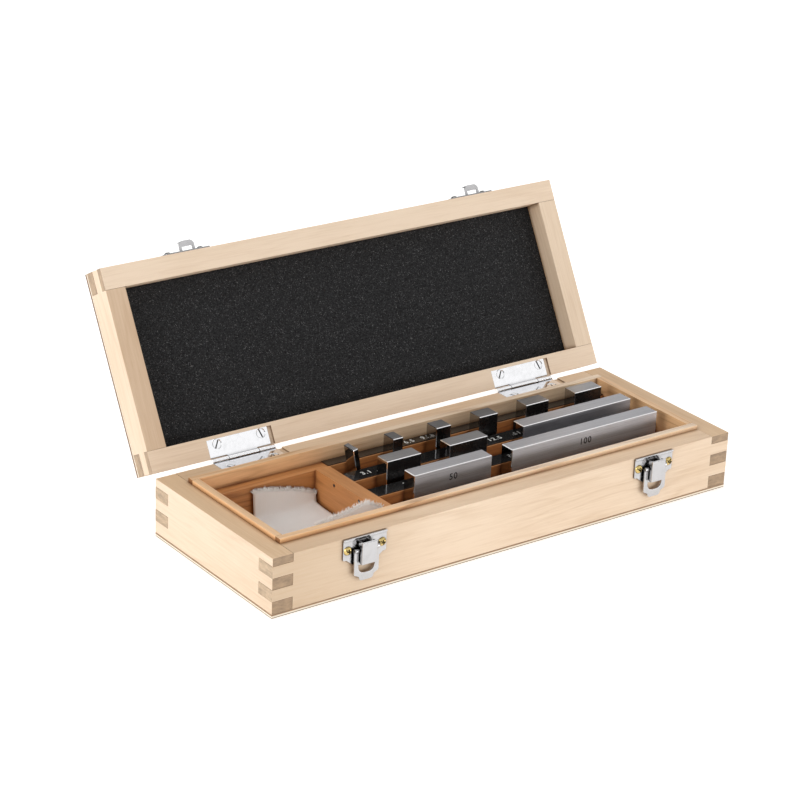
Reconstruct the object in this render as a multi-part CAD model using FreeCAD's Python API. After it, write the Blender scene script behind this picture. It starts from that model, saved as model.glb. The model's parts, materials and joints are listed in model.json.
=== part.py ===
"""Cased set of steel gauge blocks: a finger-jointed wooden box with a foam-lined lid on two
butt hinges, two toggle latches, a holder with three rows of blocks and a cloth compartment.

Frame: millimetres, +Z up, +X along the case to the right, -Y towards the latches.
Origin: the centre of the case's bottom face.  The lid is modelled closed and then swung open.
"""
import FreeCAD, Part
import math
import os

Vec = FreeCAD.Vector

# ---------------------------------------------------------------- driving dimensions
# Case
WALL = 12.0                    # thickness of the base's boards
BOTTOM_THICKNESS = 2.2         # plywood bottom
BOARD_HEIGHT = 30.2            # height of the base's boards above the plywood
BASE_FIRST_FINGER = 6.8        # lowest finger of the base's corner joints
BASE_FINGER = 6.3              # the fingers above it
LID_WALL = 11.6                # thickness of the lid's boards
LID_BOARD_HEIGHT = 15.4        # depth of the lid's boards, rim to panel
LID_PANEL_THICKNESS = 2.2
LID_FIRST_FINGER = 3.6         # finger next to the lid's rim
LID_FINGER = 5.9
RIM_GAP = 0.3                  # gap between the rims with the lid closed
LID_OPENING = 118.9            # how far the open lid leans back, in degrees
FOAM_THICKNESS = 4.6

# Lining and inside
LINING_THICKNESS = 4.0
LINING_RISE = 2.4              # the lining stands this far above the rim
COMPARTMENT_LENGTH = 66.7      # cloth compartment, along X
DIVIDER_THICKNESS = 8.7
HOLDER_END_SPACE = 8.5         # longest row's last block to the right lining
REAR_RAIL_WIDTH = 7.1
SECOND_RAIL_WIDTH = 10.6
THIRD_RAIL_WIDTH = 9.8
FRONT_RAIL_WIDTH = 12.7
GROOVE_WIDTH = 12.0            # finger groove round each row of blocks
GROOVE_DEPTH = 6.5
RAIL_DROP = 5.9                # rim of the base down to the rails' wooden top
LABEL_THICKNESS = 0.5
LABEL_EDGE = 0.8               # wood left bare along each label's front edge
NAIL_RADIUS = 0.6
NAIL_HEAD_RADIUS = 0.9
NAIL_HEAD_THICKNESS = 0.4
NAIL_LENGTH = 16.0
NAIL_DROP = 2.0                # rails' top down to the nails

# Gauge blocks: standard section, 9 mm wide, 30 mm tall up to 10 mm nominal and 35 mm above it
BLOCK_WIDTH = 9.0
SHORT_BLOCK_HEIGHT = 30.0
TALL_BLOCK_HEIGHT = 35.0
LARGEST_SHORT_BLOCK = 10.0
BLOCK_CHAMFER = 0.3
POCKET_WEB = 1.4               # holder left under the tall blocks
POCKET_CLEARANCE = 0.25
LEAN_ANGLE = 11.4              # the thinnest block leans in its pocket
# Each block's nominal length, and the free space before it in its row
SPACE_3_1, NOMINAL_3_1 = 13.3, 3.1
SPACE_6_5, NOMINAL_6_5 = 16.6, 6.5
SPACE_9_7, NOMINAL_9_7 = 21.8, 9.7
SPACE_12_5, NOMINAL_12_5 = 19.1, 12.5
SPACE_15_8, NOMINAL_15_8 = 19.4, 15.8
SPACE_19, NOMINAL_19 = 18.4, 19.0
SPACE_21_9, NOMINAL_21_9 = 13.5, 21.9
SPACE_25, NOMINAL_25 = 18.5, 25.0
SPACE_75, NOMINAL_75 = 24.0, 75.0
SPACE_50, NOMINAL_50 = 15.3, 50.0
SPACE_100, NOMINAL_100 = 13.2, 100.0
# Free depth of each groove in front of its blocks
BACK_ROW_GAP = 1.0
MIDDLE_ROW_GAP = 2.0
FRONT_ROW_GAP = 2.5

# Hinges
HINGE_INSET = 54.2             # case's end to the middle of each hinge
HINGE_LENGTH = 38.6
HINGE_BACKSET = 1.7            # pin behind the case's back face
HINGE_RISE = 0.1               # pin above the base's rim
KNUCKLE_RADIUS = 1.45
KNUCKLE_END_LENGTH = 9.8       # each of the base leaf's two knuckles
KNUCKLE_GAP = 0.3
HINGE_PIN_RADIUS = 0.8
LEAF_THICKNESS = 0.8
LEAF_BACK_EDGE = 0.4           # leaf's plate starts this far inside the back face
LEAF_WIDTH = 9.4
BASE_MORTISE_OVERRUN = 3.5     # recess cut longer than the leaf
LID_MORTISE_OVERRUN = 1.2
LID_LEAF_SHORTFALL = 1.5       # the lid's leaf ends this far before its knuckles do
HINGE_SCREW_SPREAD = 27.0
HINGE_SCREW_INSET = 7.0
HINGE_SCREW_HEAD_RADIUS = 2.8
HINGE_SCREW_HEAD_DEPTH = 1.3
HINGE_SCREW_RADIUS = 1.3
HINGE_SCREW_LENGTH = 9.0
HINGE_SLOT_DEPTH = 0.6
HINGE_SLOT_HALF_WIDTH = 0.4
HINGE_SLOT_HALF_LENGTH = 3.1
HINGE_SLOT_ANGLES = (-58.0, 74.0)   # left and right screw of each leaf
HINGE_SCREW_SINK = 0.3         # heads lie this far below the leaf's face
RUNNING_CLEARANCE = 0.05       # radial, on every pin that turns

# Latches: distances "out" are measured outwards from the case's front face
LATCH_INSET = 53.7             # case's end to the middle of each latch
LATCH_PLATE_WIDTH = 26.0
LATCH_PLATE_HEIGHT = 11.3      # straight sides of the plate
LATCH_PLATE_DROP = 0.5         # rim of the base down to the plate
LATCH_PLATE_CORNER = 1.0
PLATE_THICKNESS = 0.8
PLATE_LOBE_DEPTH = 4.3         # narrowing lower part of the plate
PLATE_LOBE_HALF_WIDTH = 5.4
PLATE_SHOULDER_HALF_WIDTH = 11.0
FLANGE_DEPTH = 1.5             # the plate's folded top edge
LATCH_SCREW_SPREAD = 20.6
LATCH_SCREW_DROP = 6.6         # rim of the base down to the screws
PAN_HEAD_RADIUS = 2.4
PAN_HEAD_HEIGHT = 1.7
PAN_SCREW_RADIUS = 1.1
PAN_SCREW_LENGTH = 8.0
RECESS_HALF_WIDTH = 0.35       # cross recess of every domed screw
RECESS_HALF_LENGTH = 1.3
RECESS_FLOOR = 0.5             # metal left under the recess
LEVER_PIVOT_OUT = 3.3
LEVER_PIVOT_DROP = 4.1         # rim of the base down to the lever's pivot
LEVER_PIN_RADIUS = 0.6
EAR_RADIUS = 1.2
EAR_THICKNESS = 0.9
EAR_ARM_HEIGHT = 2.0
LEVER_WIDTH = 9.0
LEVER_SHEET = 0.8
LEVER_FACE_OUT = 5.5           # front of the lever
LEVER_ABOVE_PIVOT = 1.9
LEVER_BELOW_PIVOT = 10.1
LEVER_CHEEK_BACK_OUT = 1.3     # back edge of the lever's cheeks
LEVER_CHEEK_ROUND = 3.0
LEVER_EDGE_ROUND = 0.64
LEVER_EYE_RADIUS = 1.4
CHEEK_ABOVE_LOOP_PIN = 1.2
LOOP_PIVOT_OUT = 2.3
LOOP_PIVOT_BELOW = 3.1         # loop's pin below the lever's pin
LOOP_PIN_RADIUS = 0.5
LOOP_BOSS_RADIUS = 1.1
LOOP_SHEET = 0.8
LOOP_SHEET_OUT = 2.35          # middle of the loop's strap
LOOP_WIDTH = 14.8
LOOP_ARM_WIDTH = 2.45
LOOP_WINDOW_REACH = 12.5       # pin to the window's far end
LOOP_SHOULDER_REACH = 12.9     # pin to where the strap narrows
LOOP_NECK_REACH = 14.4         # pin to the end of the narrowing
LOOP_REACH = 16.6              # pin to the loop's tip
LOOP_TIP_HALF_WIDTH = 4.4
LOOP_WINDOW_CORNER = 3.8
LOOP_SHOULDER_CORNER = 1.0
LOOP_TIP_CORNER = 2.0
MOVING_GAP = 0.3               # side play between parts that move past each other
EAR_SIDE_PLAY = 0.4            # between each of the plate's ears and the lever's cheek

# Catches on the lid
CATCH_PLATE_WIDTH = 27.0
CATCH_PLATE_HEIGHT = 11.0
CATCH_PLATE_START = 1.2        # lid's rim to the plate
CATCH_PLATE_CORNER = 1.2
CATCH_SCREW_SPREAD = 19.8
CATCH_SCREW_START = 6.4        # lid's rim to the screws
HOOK_WIDTH = 9.2
HOOK_OUT = 6.0
HOOK_SHEET = 0.8
HOOK_LIP_HEIGHT = 3.0
HOOK_CORNER = 2.6
HOOK_SLOT_WIDTH = 6.4
HOOK_SLOT_DEPTH = 2.0
HOOK_PUNCH_START = 0.4         # hook's floor to the hole the hook is bent out of
HOOK_PUNCH_MARGIN = 1.6        # hole to the plate's far edge
CATCH_HEAD_RADIUS = 2.1
CATCH_HEAD_HEIGHT = 1.2

# Folded cleaning cloth
CLOTH_LENGTH = 39.4            # along X, against the divider
CLOTH_PAD_HEIGHT = 7.0
CLOTH_FLAP_THICKNESS = 2.0
CLOTH_BACK_FLAP_TOP = 21.0     # above the plywood
CLOTH_FRONT_FLAP_TOP = 29.0
CLOTH_FRONT_FLAP_LEAN = 9.0
CLOTH_CLEARANCE = 0.3

# ---------------------------------------------------------------- derived sizes and places
# Rows from back to front: gap in front of the blocks, then each block's node, space and nominal
BLOCK_ROWS = [
    (BACK_ROW_GAP, [("block_3_1_mm", SPACE_3_1, NOMINAL_3_1),
                    ("block_6_5_mm", SPACE_6_5, NOMINAL_6_5),
                    ("block_9_7_mm", SPACE_9_7, NOMINAL_9_7),
                    ("block_12_5_mm", SPACE_12_5, NOMINAL_12_5),
                    ("block_15_8_mm", SPACE_15_8, NOMINAL_15_8),
                    ("block_19_mm", SPACE_19, NOMINAL_19)]),
    (MIDDLE_ROW_GAP, [("block_21_9_mm", SPACE_21_9, NOMINAL_21_9),
                      ("block_25_mm", SPACE_25, NOMINAL_25),
                      ("block_75_mm", SPACE_75, NOMINAL_75)]),
    (FRONT_ROW_GAP, [("block_50_mm", SPACE_50, NOMINAL_50),
                     ("block_100_mm", SPACE_100, NOMINAL_100)]),
]
LEANING_BLOCK = "block_3_1_mm"
ROW_LENGTHS = [sum(space + nominal for _, space, nominal in row) for _, row in BLOCK_ROWS]
HOLDER_LENGTH = max(ROW_LENGTHS) + HOLDER_END_SPACE
BORDER = WALL + LINING_THICKNESS
INNER_WIDTH = (REAR_RAIL_WIDTH + SECOND_RAIL_WIDTH + THIRD_RAIL_WIDTH + FRONT_RAIL_WIDTH
               + len(BLOCK_ROWS) * GROOVE_WIDTH)
INNER_LENGTH = COMPARTMENT_LENGTH + DIVIDER_THICKNESS + HOLDER_LENGTH
HALF_LENGTH = INNER_LENGTH / 2 + BORDER
HALF_WIDTH = INNER_WIDTH / 2 + BORDER
RIM = BOTTOM_THICKNESS + BOARD_HEIGHT
LID_RIM = RIM + RIM_GAP
LID_BOARD_TOP = LID_RIM + LID_BOARD_HEIGHT
INNER_X = HALF_LENGTH - BORDER
INNER_Y = HALF_WIDTH - BORDER
DIVIDER_LEFT = -INNER_X + COMPARTMENT_LENGTH
HOLDER_LEFT = DIVIDER_LEFT + DIVIDER_THICKNESS
RAIL_TOP = RIM - RAIL_DROP
GROOVE_FLOOR = RAIL_TOP - GROOVE_DEPTH
LABEL_TOP = RAIL_TOP + LABEL_THICKNESS
BLOCK_TOP = BOTTOM_THICKNESS + POCKET_WEB + TALL_BLOCK_HEIGHT
REAR_RAIL_FRONT = INNER_Y - REAR_RAIL_WIDTH
GROOVE_1_FRONT = REAR_RAIL_FRONT - GROOVE_WIDTH
SECOND_RAIL_FRONT = GROOVE_1_FRONT - SECOND_RAIL_WIDTH
GROOVE_2_FRONT = SECOND_RAIL_FRONT - GROOVE_WIDTH
THIRD_RAIL_FRONT = GROOVE_2_FRONT - THIRD_RAIL_WIDTH
GROOVE_3_FRONT = THIRD_RAIL_FRONT - GROOVE_WIDTH
HINGE_Y = HALF_WIDTH + HINGE_BACKSET
HINGE_Z = RIM + HINGE_RISE
LEVER_PIN_Z = RIM - LEVER_PIVOT_DROP
LOOP_PIN_Z = LEVER_PIN_Z - LOOP_PIVOT_BELOW
LOOP_WINDOW_HALF = LOOP_WIDTH / 2 - LOOP_ARM_WIDTH
CHEEK_INNER = LEVER_WIDTH / 2 - LEVER_SHEET
EAR_OUTER = CHEEK_INNER - EAR_SIDE_PLAY
SIDES = [("left", -1), ("right", 1)]


# ---------------------------------------------------------------- helpers
def block(x, y, z):
    """Box from three (low, high) pairs."""
    size = [high - low for low, high in (x, y, z)]
    return Part.makeBox(size[0], size[1], size[2], Vec(x[0], y[0], z[0]))


def rod(radius, start, end):
    """Round bar between two points."""
    direction = Vec(*end) - Vec(*start)
    return Part.makeCylinder(radius, direction.Length, Vec(*start), direction)


def cone(radius_start, radius_end, start, end):
    direction = Vec(*end) - Vec(*start)
    return Part.makeCone(radius_start, radius_end, direction.Length, Vec(*start), direction)


def prism(points, travel):
    """Flat outline of 3-D points, pushed along a vector."""
    wire = Part.makePolygon([Vec(*p) for p in points + points[:1]])
    return Part.Face(wire).extrude(Vec(*travel))


def join(first, *others):
    return first.fuse(list(others)).removeSplitter()


def out_to_y(out):
    """Y of a point that stands the given distance out from the case's front face."""
    return -HALF_WIDTH - out


def opened(shape):
    """Swings a piece of the closed lid open."""
    return shape.rotated(Vec(0, HINGE_Y, HINGE_Z), Vec(1, 0, 0), -LID_OPENING)


def save(name, *solids):
    shape = solids[0] if len(solids) == 1 else Part.makeCompound(list(solids))
    if shape.ShapeType == "Compound" and len(shape.Solids) == 1:
        shape = shape.Solids[0]
    shape.exportStep("parts/" + name + ".step")


# ---------------------------------------------------------------- boxes with finger joints
def finger_levels(bottom, top, first, pitch):
    """Heights where one finger ends and the next begins."""
    levels = [bottom, bottom + first]
    while levels[-1] + pitch < top - pitch / 2:
        levels.append(levels[-1] + pitch)
    return levels + [top]


def corner_posts(levels, wall, parity):
    """Corner blocks of every other level: the fingers of one pair of boards."""
    posts = []
    for number, (low, high) in enumerate(zip(levels, levels[1:])):
        if number % 2 == parity:
            for _, sx in SIDES:
                for sy in (-1, 1):
                    x = sorted((sx * HALF_LENGTH, sx * (HALF_LENGTH - wall)))
                    y = sorted((sy * HALF_WIDTH, sy * (HALF_WIDTH - wall)))
                    posts.append((sx, sy, block(x, y, (low, high))))
    return posts


def box_boards(levels, wall, side_parity):
    """Front, back, left and right boards that interlock at the corners."""
    height = (levels[0], levels[-1])
    inner_x = (-HALF_LENGTH + wall, HALF_LENGTH - wall)
    inner_y = (-HALF_WIDTH + wall, HALF_WIDTH - wall)
    boards = {
        "front": block(inner_x, (-HALF_WIDTH, inner_y[0]), height),
        "back": block(inner_x, (inner_y[1], HALF_WIDTH), height),
        "left": block((-HALF_LENGTH, inner_x[0]), inner_y, height),
        "right": block((inner_x[1], HALF_LENGTH), inner_y, height),
    }
    for sx, sy, post in corner_posts(levels, wall, side_parity):
        name = "left" if sx < 0 else "right"
        boards[name] = join(boards[name], post)
    for sx, sy, post in corner_posts(levels, wall, 1 - side_parity):
        name = "front" if sy < 0 else "back"
        boards[name] = join(boards[name], post)
    return boards


# ---------------------------------------------------------------- fasteners
def countersunk_screw(point, inward):
    """Slotted flat-head screw whose head is flush at point; inward is a unit vector."""
    head_end = [p + d * HINGE_SCREW_HEAD_DEPTH for p, d in zip(point, inward)]
    tip = [p + d * HINGE_SCREW_LENGTH for p, d in zip(point, inward)]
    head = cone(HINGE_SCREW_HEAD_RADIUS, HINGE_SCREW_RADIUS, point, head_end)
    return join(head, rod(HINGE_SCREW_RADIUS, head_end, tip))


def slotted(screw, point, inward, angle):
    """Sinks a flat-head screw whose axis is along Z below its point, and cuts its slot."""
    sunk = point[2] + inward[2] * HINGE_SCREW_SINK
    head = HINGE_SCREW_HEAD_RADIUS
    z = sorted((point[2], sunk))
    screw = screw.cut(block((point[0] - head, point[0] + head), (point[1] - head, point[1] + head), z))
    z = sorted((sunk, sunk + inward[2] * HINGE_SLOT_DEPTH))
    slot = block((-HINGE_SLOT_HALF_LENGTH, HINGE_SLOT_HALF_LENGTH),
                 (-HINGE_SLOT_HALF_WIDTH, HINGE_SLOT_HALF_WIDTH), z)
    slot.rotate(Vec(0, 0, 0), Vec(0, 0, 1), angle)
    slot.translate(Vec(point[0], point[1], 0))
    return screw.cut(slot)


def pan_screw(x, z, seat_out, head_radius, head_height):
    """Cross-recessed screw with a domed head, driven in through the front face."""
    seat = out_to_y(seat_out)
    ball_radius = (head_radius ** 2 + head_height ** 2) / (2 * head_height)
    ball = Part.makeSphere(ball_radius, Vec(x, seat + ball_radius - head_height, z))
    head = ball.common(rod(head_radius, (x, seat, z), (x, seat - head_height, z)))
    depth = (seat - head_height, seat - RECESS_FLOOR)
    for across, along in ((RECESS_HALF_WIDTH, RECESS_HALF_LENGTH),
                          (RECESS_HALF_LENGTH, RECESS_HALF_WIDTH)):
        head = head.cut(block((x - across, x + across), depth, (z - along, z + along)))
    shank = rod(PAN_SCREW_RADIUS, (x, seat, z), (x, seat + PAN_SCREW_LENGTH, z))
    return join(head, shank)


# ---------------------------------------------------------------- hinges
def hinge_spans(centre):
    """X ranges of the left, middle and right knuckles."""
    left = centre - HINGE_LENGTH / 2
    right = centre + HINGE_LENGTH / 2
    middle = (left + KNUCKLE_END_LENGTH + KNUCKLE_GAP, right - KNUCKLE_END_LENGTH - KNUCKLE_GAP)
    return (left, left + KNUCKLE_END_LENGTH), middle, (right - KNUCKLE_END_LENGTH, right)


def hinge_leaf(centre, spans, z, bore, screw_z, screw_inward, shortfall=0.0):
    """Flat leaf with the knuckles that stand over the given X spans."""
    plate_back = HALF_WIDTH - LEAF_BACK_EDGE
    x = (centre - HINGE_LENGTH / 2, centre + HINGE_LENGTH / 2)
    leaf = block((x[0], x[1] - shortfall), (plate_back - LEAF_WIDTH, plate_back), z)
    for span in spans:
        web = block(span, (plate_back, HINGE_Y), z)
        knuckle = rod(KNUCKLE_RADIUS, (span[0], HINGE_Y, HINGE_Z), (span[1], HINGE_Y, HINGE_Z))
        leaf = join(leaf, web, knuckle)
    leaf = leaf.cut(rod(bore, (x[0] - 1, HINGE_Y, HINGE_Z), (x[1] + 1, HINGE_Y, HINGE_Z)))
    for point in hinge_screw_points(centre, screw_z):
        leaf = leaf.cut(countersunk_screw(point, screw_inward))
    return leaf


def hinge_screw_points(centre, z):
    y = HALF_WIDTH - HINGE_SCREW_INSET
    return [(centre + s * HINGE_SCREW_SPREAD / 2, y, z) for _, s in SIDES]


def mortise(centre, z, overrun):
    """Recess in a rim for a leaf, cut through to the back face."""
    x = (centre - HINGE_LENGTH / 2, centre + HINGE_LENGTH / 2 + overrun)
    return block(x, (HALF_WIDTH - LEAF_BACK_EDGE - LEAF_WIDTH, HALF_WIDTH), z)


# ---------------------------------------------------------------- latches
def latch_plate(x):
    """Base plate with a folded top edge, a narrowing lower part and two inner ears."""
    top = RIM - LATCH_PLATE_DROP
    low = top - LATCH_PLATE_HEIGHT
    half = LATCH_PLATE_WIDTH / 2
    face = out_to_y(0)
    shoulder = PLATE_SHOULDER_HALF_WIDTH
    lobe = PLATE_LOBE_HALF_WIDTH
    outline = [(-half, top), (-half, low), (-shoulder, low), (-lobe, low - PLATE_LOBE_DEPTH),
               (lobe, low - PLATE_LOBE_DEPTH), (shoulder, low), (half, low), (half, top)]
    plate = prism([(x + u, face, z) for u, z in outline], (0, -PLATE_THICKNESS, 0))
    corners = [e for e in plate.Edges
               if abs(e.tangentAt(e.FirstParameter).y) > 0.9
               and abs(e.BoundBox.Center.z - top) > 1]
    plate = plate.makeFillet(LATCH_PLATE_CORNER, corners)
    flange = block((x - half, x + half), (out_to_y(FLANGE_DEPTH), face),
                   (top - PLATE_THICKNESS, top))
    plate = join(plate, flange)
    for _, side in SIDES:
        across = sorted((x + side * EAR_OUTER, x + side * (EAR_OUTER - EAR_THICKNESS)))
        arm = block(across, (out_to_y(LEVER_PIVOT_OUT), face),
                    (LEVER_PIN_Z - EAR_RADIUS, LEVER_PIN_Z - EAR_RADIUS + EAR_ARM_HEIGHT))
        eye = rod(EAR_RADIUS, (across[0], out_to_y(LEVER_PIVOT_OUT), LEVER_PIN_Z),
                  (across[1], out_to_y(LEVER_PIVOT_OUT), LEVER_PIN_Z))
        plate = join(plate, arm, eye)
    return plate.cut(lever_pin(x))


def lever_pin(x, clearance=0.0):
    half = LEVER_WIDTH / 2
    y = out_to_y(LEVER_PIVOT_OUT)
    return rod(LEVER_PIN_RADIUS + clearance, (x - half, y, LEVER_PIN_Z), (x + half, y, LEVER_PIN_Z))


def loop_pin(x, clearance=0.0):
    half = LOOP_WIDTH / 2
    y = out_to_y(LOOP_PIVOT_OUT)
    return rod(LOOP_PIN_RADIUS + clearance, (x - half, y, LOOP_PIN_Z), (x + half, y, LOOP_PIN_Z))


def latch_lever(x):
    """Channel-shaped lever: a front panel and two cheeks that carry both pins."""
    half = LEVER_WIDTH / 2
    bottom = LEVER_PIN_Z - LEVER_BELOW_PIVOT
    top = LEVER_PIN_Z + LEVER_ABOVE_PIVOT
    panel = block((x - half, x + half), (out_to_y(LEVER_FACE_OUT),
                                         out_to_y(LEVER_FACE_OUT - LEVER_SHEET)), (bottom, top))
    front = [e for e in panel.Edges if abs(e.BoundBox.Center.y - out_to_y(LEVER_FACE_OUT)) < 0.01]
    panel = panel.makeFillet(LEVER_EDGE_ROUND, front)
    back = out_to_y(LEVER_CHEEK_BACK_OUT)
    face = out_to_y(LEVER_FACE_OUT - LEVER_SHEET)
    lever = panel
    for _, side in SIDES:
        across = sorted((x + side * half, x + side * CHEEK_INNER))
        cheek = block(across, (face, back), (bottom, LOOP_PIN_Z + CHEEK_ABOVE_LOOP_PIN))
        lower = [e for e in cheek.Edges if abs(e.tangentAt(e.FirstParameter).x) > 0.9
                 and abs(e.BoundBox.Center.y - back) < 0.01
                 and abs(e.BoundBox.Center.z - bottom) < 0.01]
        cheek = cheek.makeFillet(LEVER_CHEEK_ROUND, lower)
        neck = block(across, (face, out_to_y(LEVER_PIVOT_OUT)),
                     (LOOP_PIN_Z, LEVER_PIN_Z + EAR_RADIUS))
        eye = rod(LEVER_EYE_RADIUS, (across[0], out_to_y(LEVER_PIVOT_OUT), LEVER_PIN_Z),
                  (across[1], out_to_y(LEVER_PIVOT_OUT), LEVER_PIN_Z))
        lever = join(lever, cheek, neck, eye)
    lever = lever.cut(lever_pin(x, RUNNING_CLEARANCE))
    return lever.cut(loop_pin(x))


def latch_loop(x):
    """Flat strap with a rounded window and a narrower tip, hung from two bosses on its pin."""
    half = LOOP_WIDTH / 2
    tip = LOOP_PIN_Z - LOOP_REACH
    window_end = LOOP_PIN_Z - LOOP_WINDOW_REACH
    y = (out_to_y(LOOP_SHEET_OUT + LOOP_SHEET / 2), out_to_y(LOOP_SHEET_OUT - LOOP_SHEET / 2))
    shoulder = LOOP_PIN_Z - LOOP_SHOULDER_REACH
    neck = LOOP_PIN_Z - LOOP_NECK_REACH
    side = [(half, LOOP_PIN_Z), (half, shoulder), (LOOP_TIP_HALF_WIDTH, neck),
            (LOOP_TIP_HALF_WIDTH, tip)]
    outline = side + [(-u, z) for u, z in reversed(side)]
    strap = prism([(x + u, y[0], z) for u, z in outline], (0, y[1] - y[0], 0))
    strap = strap.makeFillet(LOOP_TIP_CORNER, low_edges(strap, tip))
    strap = strap.makeFillet(LOOP_SHOULDER_CORNER, low_edges(strap, shoulder))
    window = block((x - LOOP_WINDOW_HALF, x + LOOP_WINDOW_HALF), (y[0] - 1, y[1] + 1),
                   (window_end, LOOP_PIN_Z + 2))
    window = window.makeFillet(LOOP_WINDOW_CORNER, low_edges(window, window_end))
    loop = strap.cut(window)
    pivot_y = out_to_y(LOOP_PIVOT_OUT)
    for _, side in SIDES:
        across = sorted((x + side * half, x + side * LOOP_WINDOW_HALF))
        boss = rod(LOOP_BOSS_RADIUS, (across[0], pivot_y, LOOP_PIN_Z),
                   (across[1], pivot_y, LOOP_PIN_Z))
        loop = join(loop, boss)
    return loop.cut(loop_pin(x, RUNNING_CLEARANCE))


def low_edges(shape, z):
    """The two upright-section edges (along Y) at a flat piece's lower corners."""
    return [e for e in shape.Edges if abs(e.tangentAt(e.FirstParameter).y) > 0.9
            and abs(e.BoundBox.Center.z - z) < 0.01]


def hook_floor():
    """Height of the catch's hook, just under the raised loop's window corners."""
    beside = HOOK_WIDTH / 2 - (LOOP_WINDOW_HALF - LOOP_WINDOW_CORNER)
    beside = min(max(beside, 0.0), LOOP_WINDOW_CORNER)
    corner_drop = LOOP_WINDOW_CORNER - math.sqrt(LOOP_WINDOW_CORNER ** 2 - beside ** 2)
    return LOOP_PIN_Z + LOOP_WINDOW_REACH - corner_drop - MOVING_GAP


def catch_plate(x):
    """Striker plate on the closed lid's front face, with a hook bent out of it."""
    half = CATCH_PLATE_WIDTH / 2
    bottom = LID_RIM + CATCH_PLATE_START
    face = out_to_y(0)
    plate = block((x - half, x + half), (out_to_y(PLATE_THICKNESS), face),
                  (bottom, bottom + CATCH_PLATE_HEIGHT))
    plate = plate.makeFillet(CATCH_PLATE_CORNER, [e for e in plate.Edges
                                             if abs(e.tangentAt(e.FirstParameter).y) > 0.9])
    floor = hook_floor()
    across = (x - HOOK_WIDTH / 2, x + HOOK_WIDTH / 2)
    hook = block(across, (out_to_y(HOOK_OUT), out_to_y(0)),
                 (floor - HOOK_SHEET, floor + HOOK_LIP_HEIGHT))
    outer = [e for e in hook.Edges if abs(e.tangentAt(e.FirstParameter).z) > 0.9
             and abs(e.BoundBox.Center.y - out_to_y(HOOK_OUT)) < 0.01]
    hook = hook.makeFillet(HOOK_CORNER, outer)
    trough = block((across[0] - 1, across[1] + 1),
                   (out_to_y(HOOK_OUT - HOOK_SHEET), out_to_y(0)),
                   (floor, floor + HOOK_LIP_HEIGHT + 1))
    slot = block((x - HOOK_SLOT_WIDTH / 2, x + HOOK_SLOT_WIDTH / 2),
                 (out_to_y(PLATE_THICKNESS + HOOK_SLOT_DEPTH), out_to_y(PLATE_THICKNESS)),
                 (floor - HOOK_SHEET, floor))
    punched = block((x - HOOK_SLOT_WIDTH / 2, x + HOOK_SLOT_WIDTH / 2),
                    (out_to_y(PLATE_THICKNESS), face),
                    (floor + HOOK_PUNCH_START, bottom + CATCH_PLATE_HEIGHT - HOOK_PUNCH_MARGIN))
    return join(plate, hook.cut(trough).cut(slot)).cut(punched)


# ---------------------------------------------------------------- inside of the base
def placed_blocks():
    """Every gauge block by node: nominal length, left X, front Y, foot Z, height and lean."""
    grooves = [GROOVE_1_FRONT, GROOVE_2_FRONT, GROOVE_3_FRONT]
    result = {}
    for groove_front, (front_gap, row) in zip(grooves, BLOCK_ROWS):
        x = HOLDER_LEFT
        for node, space, nominal in row:
            x += space
            height = TALL_BLOCK_HEIGHT if nominal > LARGEST_SHORT_BLOCK else SHORT_BLOCK_HEIGHT
            lean = LEAN_ANGLE if node == LEANING_BLOCK else 0.0
            result[node] = (nominal, x, groove_front + front_gap, BLOCK_TOP - height, height, lean)
            x += nominal
    return result


def gauge_block(nominal, x, y, z, height, lean):
    """Lapped steel block with small chamfers, tipped about its lower left edge if it leans."""
    body = block((x, x + nominal), (y, y + BLOCK_WIDTH), (z, z + height))
    body = body.makeChamfer(BLOCK_CHAMFER, body.Edges)
    return body.rotated(Vec(x, y, z), Vec(0, 1, 0), -lean)


def block_pocket(nominal, x, y, z, height, lean):
    """Recess for one block; a leaning block's is wide enough for its tilt."""
    tilt = math.radians(lean)
    lean_room = (GROOVE_FLOOR - z) * math.tan(tilt)
    left = x - lean_room - POCKET_CLEARANCE
    right = x + nominal * math.cos(tilt) + POCKET_CLEARANCE
    return block((left, right), (y - POCKET_CLEARANCE, y + BLOCK_WIDTH + POCKET_CLEARANCE),
                 (z, GROOVE_FLOOR + 1))


def cleaning_cloth():
    """Folded pad on the compartment's floor with both ends turned up."""
    x = (DIVIDER_LEFT - CLOTH_CLEARANCE - CLOTH_LENGTH, DIVIDER_LEFT - CLOTH_CLEARANCE)
    back = REAR_RAIL_FRONT - CLOTH_CLEARANCE
    front = -INNER_Y + CLOTH_CLEARANCE
    floor = BOTTOM_THICKNESS
    pad = floor + CLOTH_PAD_HEIGHT
    thick = CLOTH_FLAP_THICKNESS
    lean = CLOTH_FRONT_FLAP_LEAN
    outline = [(front, floor), (back, floor), (back, floor + CLOTH_BACK_FLAP_TOP),
               (back - thick, floor + CLOTH_BACK_FLAP_TOP), (back - thick * 2, pad),
               (front + thick * 2, pad), (front + lean + thick, floor + CLOTH_FRONT_FLAP_TOP),
               (front + lean, floor + CLOTH_FRONT_FLAP_TOP), (front, pad)]
    return prism([(x[0], y, z) for y, z in outline], (x[1] - x[0], 0, 0))


def divider_nails():
    """Brads through the divider into the ends of the two middle rails."""
    z = RAIL_TOP - NAIL_DROP
    centres = [SECOND_RAIL_FRONT + SECOND_RAIL_WIDTH / 2, THIRD_RAIL_FRONT + THIRD_RAIL_WIDTH / 2]
    nails = []
    for y in centres:
        head_end = DIVIDER_LEFT + NAIL_HEAD_THICKNESS
        head = rod(NAIL_HEAD_RADIUS, (DIVIDER_LEFT, y, z), (head_end, y, z))
        shank = rod(NAIL_RADIUS, (head_end, y, z), (DIVIDER_LEFT + NAIL_LENGTH, y, z))
        nails.append(join(head, shank))
    return nails


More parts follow.
